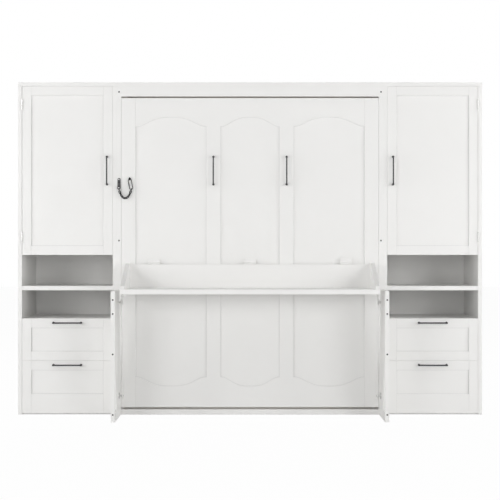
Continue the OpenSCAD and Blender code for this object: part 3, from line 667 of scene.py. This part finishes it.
def edge_band(node, edges, thick):
    """The bands of one board, as one piece."""
    low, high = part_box(node)
    bm = bmesh.new()
    span_y = (low.y + BAND_BEHIND, high.y - BAND_BEHIND)
    upright = (low.z, high.z)
    if "left" in edges:
        band_strip(bm, (low.x, 0, 0), Vector((-1, 0, 0)), *span_y, *upright, thick)
    if "right" in edges:
        band_strip(bm, (high.x, 0, 0), Vector((1, 0, 0)), *span_y, *upright, thick)
    if "top" in edges:
        band_strip(bm, (0, 0, high.z), Vector((0, 0, 1)), *span_y, low.x, high.x, thick)
    if "bottom" in edges:
        band_strip(bm, (0, 0, low.z), Vector((0, 0, -1)), *span_y, low.x, high.x, thick)
    bmesh.ops.recalc_face_normals(bm, faces=bm.faces)
    made = piece(f"{node}_band", bm, paint, body_of(node))
    made.data.set_sharp_from_angle(angle=BAND_SHARP)
    return made


for name, (edges, thick) in BANDED.items():
    edge_band(name, edges, thick)
print("banded boards:", len(BANDED))

# %% [markdown]
# ## Turned fastenings
# Screws, bolts, nuts and pins are small, but they are what makes furniture look real. Most of
# them are turned on a lathe, so one lathe draws them all: it spins a list of rings round an
# axis. The socket of a bolt could be cut out with a boolean. Here a ring may also have six
# sides, which sinks the socket into the round head without any cutting.

# %% Lathe
ROUND = 0
HEX = 6
LATHE_SIDES = 24
FINE_SIDES = 36
PIN_SIDES = 16
TURNED_SHARP = math.radians(35)
FRONT = (0, -1, 0)
BACK = (0, 1, 0)


def ring_reach(angle, radius, corners):
    """Distance from the axis to a ring's outline, a circle or a polygon with that many corners."""
    if corners == ROUND:
        return radius
    half = math.pi / corners
    return radius * math.cos(half) / math.cos((angle % (2 * half)) - half)


def lathe(bm, rings, at, axis, sides=LATHE_SIDES):
    """Spins (radius, height, corners) rings round `axis` and closes both ends."""
    turn = Vector(axis).to_track_quat("Z", "Y").to_matrix().to_4x4()
    place = Matrix.Translation(Vector(at)) @ turn
    loops = []
    for radius, height, corners in rings:
        loop = []
        for i in range(sides):
            angle = 2 * math.pi * i / sides
            reach = ring_reach(angle, radius, corners)
            spot = Vector((reach * math.cos(angle), reach * math.sin(angle), height))
            loop.append(bm.verts.new(place @ spot))
        loops.append(loop)
    for low, high in zip(loops, loops[1:]):
        for i in range(sides):
            j = (i + 1) % sides
            bm.faces.new((low[i], low[j], high[j], high[i]))
    bm.faces.new(list(reversed(loops[0])))
    bm.faces.new(loops[-1])


def turned_piece(name, bm, material, body):
    """A piece from the lathe: round faces shade smoothly and turned edges stay crisp."""
    made = piece(name, bm, material, body)
    made.data.set_sharp_from_angle(angle=TURNED_SHARP)
    return made


# %% Screw heads
HEAD_SINK = 0.0002


def screw_head(bm, at, axis, radius):
    """A low domed head with a hexagon socket."""
    r = radius
    rings = [
        (r, 0, ROUND), (r, 0.12 * r, ROUND), (0.86 * r, 0.36 * r, ROUND),
        (0.6 * r, 0.5 * r, ROUND), (0.42 * r, 0.52 * r, HEX), (0.42 * r, 0.2 * r, HEX),
    ]
    lathe(bm, rings, at, axis)


def screws(name, places, axis, radius, material, body):
    """A set of equal screw heads, each a hair sunk into what it holds."""
    bm = bmesh.new()
    for at in places:
        screw_head(bm, Vector(at) - Vector(axis) * HEAD_SINK, axis, radius)
    made = turned_piece(name, bm, material, body)
    print(name, len(places))
    return made


# %% Screws of the desk hinges
HINGE_L = 0.078
LEAF_T = 0.002
LEAF_SCREW_R = 0.0035
LEAF_SCREW_STEP = 0.028
LEAF_SCREW_DROP = 0.012
low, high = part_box("desk_hinges")
leaf_spots = []
for middle in (low.x + HINGE_L / 2, 0, high.x - HINGE_L / 2):
    for step in (-LEAF_SCREW_STEP, 0, LEAF_SCREW_STEP):
        leaf_spots.append((middle + step, FACE_Y - LEAF_T, high.z - LEAF_SCREW_DROP))
screws(
    "desk_hinge_screws", leaf_spots, FRONT, LEAF_SCREW_R, hinge_white, "bed",
)

# %% Screws of the slats
SLATS = 13
SLAT_W = 0.070
SLAT_SCREW_X = 0.758
SLAT_SCREW_R = 0.004
SLAT_SCREW_SHARES = (0.25, 0.75)
low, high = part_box("bed_slats")
slat_pitch = (high.z - low.z - SLAT_W) / (SLATS - 1)
slat_spots = []
for i in range(SLATS):
    foot = low.z + i * slat_pitch
    for share in SLAT_SCREW_SHARES:
        for x in (-SLAT_SCREW_X, SLAT_SCREW_X):
            slat_spots.append((x, high.y, foot + share * SLAT_W))
    slat_spots.append((0, high.y, foot + SLAT_W / 2))
screws("slat_screws", slat_spots, BACK, SLAT_SCREW_R, zinc, "bed")

# %% [markdown]
# ## Bolts in the legs and the bay
# The dark dots down the front of each leg are the heads of sunk bolts. The CAD model has plain
# discs there, and a dark disc would pass from far away. Close by one expects a rim and a socket,
# so we replace the discs by heads of the same size that sit flush, with a chamfered rim and a
# hexagon socket.

# %% Bolt heads
BOLT_R = 0.00545
CAP_D = 0.003
RIM = 0.0004
SOCKET_D = 0.0022
LEG_BOLT_Z = (0.047, 0.422, 0.673, 0.760)
BAY_BOLT_Z = (1.131, 2.098)
bolt_rings = [
    (BOLT_R, -CAP_D, ROUND), (BOLT_R, -RIM, ROUND), (0.92 * BOLT_R, 0, ROUND),
    (0.5 * BOLT_R, 0, HEX), (0.5 * BOLT_R, -SOCKET_D, HEX),
]
low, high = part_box("bolt_caps")
bolt_x = high.x - BOLT_R
bm = bmesh.new()
for y, heights in ((low.y, LEG_BOLT_Z), (FACE_Y, BAY_BOLT_Z)):
    for z in heights:
        for x in (-bolt_x, bolt_x):
            lathe(bm, bolt_rings, (x, y, z), FRONT, FINE_SIDES)
bolts = turned_piece("sunk_bolts", bm, cap_grey, "root")
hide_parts("bolt_caps")
print("sunk bolts:", len(SIDES) * len(LEG_BOLT_Z + BAY_BOLT_Z))

# %% [markdown]
# ## Nuts and collars
# Where a link turns on a stud, a domed nut keeps it on. A gas strut has a rubber wiper where the
# rod comes out, and a band at its other end. They could be part of the CAD links and struts, but
# they are small, they show only when the bed is down, and the lathe turns them from a few rings.

# %% Nuts on the desk links
LINK_HEAD = (-0.340, 0.740)
NUT_R = 0.0095
NUT_CLEAR = 0.0004
nut_rings = [
    (NUT_R, 0, HEX), (NUT_R, 0.005, HEX), (0.0065, 0.0062, ROUND),
    (0.0055, 0.0085, ROUND), (0.003, 0.0102, ROUND),
]
link_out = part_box("right_desk_link")[1].x
bm = bmesh.new()
for sign in SIDES.values():
    lathe(bm, nut_rings, (sign * (link_out + NUT_CLEAR), *LINK_HEAD), (sign, 0, 0), FINE_SIDES)
turned_piece("desk_link_nuts", bm, hinge_white, "desk")
print("nuts:", len(SIDES))

# %% Strut collars
STRUT_TOP = Vector((0, 0.160, 0.900))
STRUT_FOOT = Vector((0, 0, 0.230))
STRUT_X = 0.8145
WIPER_AT = 0.4861
TOP_BAND_AT = 0.026
wiper_rings = [
    (0.0140, -0.012, ROUND), (0.0146, -0.012, ROUND), (0.0146, -0.001, ROUND),
    (0.0128, 0.0015, ROUND), (0.0056, 0.0015, ROUND),
]
top_band_rings = [
    (0.0142, 0, ROUND), (0.0148, 0.001, ROUND), (0.0148, 0.006, ROUND), (0.0142, 0.007, ROUND),
]
strut_axis = (STRUT_FOOT - STRUT_TOP).normalized()
for side, sign in SIDES.items():
    stud = Vector((sign * STRUT_X, 0, 0)) + STRUT_TOP
    bm = bmesh.new()
    lathe(bm, wiper_rings, stud + strut_axis * WIPER_AT, strut_axis, FINE_SIDES)
    lathe(bm, top_band_rings, stud + strut_axis * TOP_BAND_AT, strut_axis, FINE_SIDES)
    turned_piece(f"{side}_strut_collars", bm, rubber, f"{side}_strut_tube")
print("strut length", round((STRUT_FOOT - STRUT_TOP).length, 3), "m")

# %% [markdown]
# ## Shelf pins and sleeves
# Behind the doors the shelves rest on steel pins. The pins stand in rows of sleeves, pressed
# into the walls, that let the owner move the shelves. A texture of dots would show the rows from
# the front, but the sleeves stand proud and catch the light, so each is turned, with its bore.

# %% Shelf pins and sleeves
BOARD_T = 0.025
TOWER_W = 0.641
SHELF_TOPS = (1.400, 1.760)
SHELF_T = 0.018
PIN_DROP = 0.0026
ROW_Y = (-0.02, 0.43)
ROW_FOOT = 1.208
ROW_PITCH = 0.064
ROW_COUNT = 13
row_z = [ROW_FOOT + ROW_PITCH * i for i in range(ROW_COUNT)]
sleeve_rings = [
    (0.0045, -0.0005, ROUND), (0.0045, 0.0002, ROUND), (0.0042, 0.0004, ROUND),
    (0.0027, 0.0004, ROUND), (0.0027, -0.0003, ROUND),
]
pin_rings = [(0.0025, -0.001, ROUND), (0.0025, 0.010, ROUND), (0.0020, 0.0105, ROUND)]
wall_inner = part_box("tower_sides")[1].x - TOWER_W + BOARD_T
wall_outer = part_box("cupboard_floors")[1].x
walls = ((wall_inner, 1), (wall_outer, -1))
bm_sleeves = bmesh.new()
bm_pins = bmesh.new()
for sign in SIDES.values():
    for wall, inward in walls:
        for y in ROW_Y:
            axis = (sign * inward, 0, 0)
            for z in row_z:
                lathe(bm_sleeves, sleeve_rings, (sign * wall, y, z), axis, PIN_SIDES)
            for top in SHELF_TOPS:
                at = (sign * wall, y, top - SHELF_T - PIN_DROP)
                lathe(bm_pins, pin_rings, at, axis, PIN_SIDES)
turned_piece("shelf_pin_sleeves", bm_sleeves, zinc, "root")
turned_piece("shelf_pins", bm_pins, bright_steel, "root")
rows = len(SIDES) * len(walls) * len(ROW_Y)
print("sleeves:", rows * ROW_COUNT, "pins:", rows * len(SHELF_TOPS))

# %% [markdown]
# ## Safety anchor
# A narrow plate with two screws and a headed peg holds the safety chain at the bay side. The
# CAD plate is a plain bar. A real one is stamped out with round ends, and we could bevel a box
# until it looks so. It is simpler to write its outline as one closed row of points and to lift
# that into a back and a front face, with a narrow chamfer round the front.

# %% Anchor plate
PEG_X = -0.851
PLATE_T = 0.003
PLATE_HALF = (0.0108, 0.0098)
PLATE_CHAMFER = 0.0008
ROUND_STEPS = 12
PLATE_Y = FACE_Y - PLATE_T


def rounded_plate(bm, ends, halves, front_y, back_y):
    """A flat plate between two rounded ends, with a narrow chamfer round its front face."""
    outline = []
    for (x, z), half, start in zip(ends, halves, (math.pi, 0)):
        for i in range(ROUND_STEPS + 1):
            angle = start + math.pi * i / ROUND_STEPS
            outline.append((x, z, half * math.cos(angle), half * math.sin(angle)))
    inset = 1 - PLATE_CHAMFER / halves[0]
    layers = [(back_y, 1.0), (front_y + PLATE_CHAMFER, 1.0), (front_y, inset)]
    loops = []
    for y, grow in layers:
        spots = [(x + grow * dx, y, z + grow * dz) for x, z, dx, dz in outline]
        loops.append([bm.verts.new(spot) for spot in spots])
    for near, far in zip(loops, loops[1:]):
        for i in range(len(outline)):
            j = (i + 1) % len(outline)
            bm.faces.new((near[i], near[j], far[j], far[i]))
    bm.faces.new(list(reversed(loops[0])))
    bm.faces.new(loops[-1])


low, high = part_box("safety_anchor")
foot_z = low.z + PLATE_HALF[0]
head_z = high.z - PLATE_HALF[1]
bm = bmesh.new()
rounded_plate(bm, ((PEG_X, foot_z), (PEG_X, head_z)), PLATE_HALF, PLATE_Y, FACE_Y)
bmesh.ops.recalc_face_normals(bm, faces=bm.faces)
plate = piece("anchor_plate", bm, phosphate, "root")
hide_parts("safety_anchor")
print("plate", round((high.z - low.z) * 1000), "mm high")

# %% Screws and peg of the anchor
TOP_SCREW_R = 0.0045
LOW_SCREW_R = 0.0040
LOW_SCREW_RISE = 0.006
PEG_Z = 1.474
PEG_R = 0.0030
PEG_HEAD_R = 0.0042
PEG_HEAD_T = 0.0018
PEG_TIP_R = 0.0036
PEG_TIP_T = 0.0004
PEG_ROOT = 0.001
top_spot = (PEG_X, PLATE_Y, head_z)
low_spot = (PEG_X, PLATE_Y, (foot_z + head_z) / 2 + LOW_SCREW_RISE)
screws("anchor_top_screw", [top_spot], FRONT, TOP_SCREW_R, bright_steel, "root")
screws("anchor_screw", [low_spot], FRONT, LOW_SCREW_R, black_zinc, "root")
peg_l = PLATE_Y - low.y
neck = peg_l - PEG_HEAD_T
peg_rings = [
    (PEG_R, -PEG_ROOT, ROUND), (PEG_R, neck, ROUND), (PEG_HEAD_R, neck, ROUND),
    (PEG_HEAD_R, peg_l - PEG_TIP_T, ROUND), (PEG_TIP_R, peg_l, ROUND),
]
bm = bmesh.new()
lathe(bm, peg_rings, (PEG_X, PLATE_Y, PEG_Z), FRONT)
turned_piece("anchor_peg", bm, bright_steel, "root")
print("anchor peg", round(peg_l * 1000, 1), "mm long")

# %% [markdown]
# ## Safety chain
# The chain hangs between the peg and the snap hook and keeps the bed from falling forward. A
# chain hangs in a catenary, and a physics run would find that curve, but the formula gives it
# exactly: each link is placed by its length along the curve and turned to its slope. The end
# links stand on edge in the ring and the hook, and the twist spreads from there until the
# middle links lie at 45 degrees both ways. The wire is a little heavier than in the CAD model,
# as on a welded chain, which leaves just enough room inside a link for its neighbours.

# %% Wire bent along a closed path
WIRE_SIDES = 14
ACROSS = Vector((0, 1, 0))


def closed_wire(bm, path, across, radius, place, sides=WIRE_SIDES):
    """Sweeps a round section along a closed flat path; `across` is the normal of its plane."""
    count = len(path)
    rings = []
    for i, point in enumerate(path):
        ahead = (path[(i + 1) % count] - path[i - 1]).normalized()
        out = across.cross(ahead)
        ring = []
        for j in range(sides):
            angle = 2 * math.pi * j / sides
            spot = point + radius * (math.cos(angle) * out + math.sin(angle) * across)
            ring.append(bm.verts.new(place @ spot))
        rings.append(ring)
    for i in range(count):
        here, there = rings[i], rings[(i + 1) % count]
        for j in range(sides):
            k = (j + 1) % sides
            bm.faces.new((here[j], here[k], there[k], there[j]))


def oval(half_l, half_w, steps=12):
    """Points of an oval that is long along X, in the X and Z directions."""
    straight = half_l - half_w
    points = []
    for side in (1, -1):
        for i in range(steps + 1):
            angle = math.pi * (i / steps - 0.5)
            x = straight + half_w * math.cos(angle)
            points.append(Vector((side * x, 0, side * half_w * math.sin(angle))))
    return points


def circle(radius, steps=32):
    """Points of a circle in the X and Z directions."""
    angles = [2 * math.pi * i / steps for i in range(steps)]
    return [Vector((radius * math.cos(a), 0, radius * math.sin(a))) for a in angles]


# %% Chain along its catenary
LINKS = 11
LINK_PITCH = 0.014
LINK_WIRE = 0.0024
LINK_HALF = (0.0095, 0.0056)
LINK_TURNS = (90, -15, 60, -45, 45, -45, 45, -45, 60, -15, 90)
RING_Z = 1.4725
RING_R = 0.009
RING_WIRE = 0.002
# how open the catenary is, and how far into the ring and the hook the end links reach
OPEN = 0.020
IN_RING = 0.0046
IN_SNAP = 0.0041
TETHER_FORWARD = 0.012

tether_y = FACE_Y - TETHER_FORWARD
chain_l = IN_RING + (LINKS - 1) * LINK_PITCH + IN_SNAP
sag = math.hypot(OPEN, chain_l / 2) - OPEN
half_span = OPEN * math.asinh(chain_l / 2 / OPEN)
bm = bmesh.new()
ring_place = Matrix.Translation((PEG_X, tether_y, RING_Z))
closed_wire(bm, circle(RING_R), ACROSS, RING_WIRE, ring_place)
for i in range(LINKS):
    s = IN_RING + i * LINK_PITCH - chain_l / 2
    x = PEG_X + half_span + OPEN * math.asinh(s / OPEN)
    z = RING_Z - RING_R - sag + math.hypot(OPEN, s) - OPEN
    slope = Matrix.Rotation(-math.atan(s / OPEN), 4, "Y")
    twist = Matrix.Rotation(math.radians(LINK_TURNS[i]), 4, "X")
    place = Matrix.Translation((x, tether_y, z)) @ slope @ twist
    closed_wire(bm, oval(*LINK_HALF), ACROSS, LINK_WIRE, place)
bmesh.ops.recalc_face_normals(bm, faces=bm.faces)
chain = piece("welded_chain", bm, black_zinc, "bed")
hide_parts("safety_chain")
print("chain length", round(chain_l * 1000), "mm, links", LINKS)
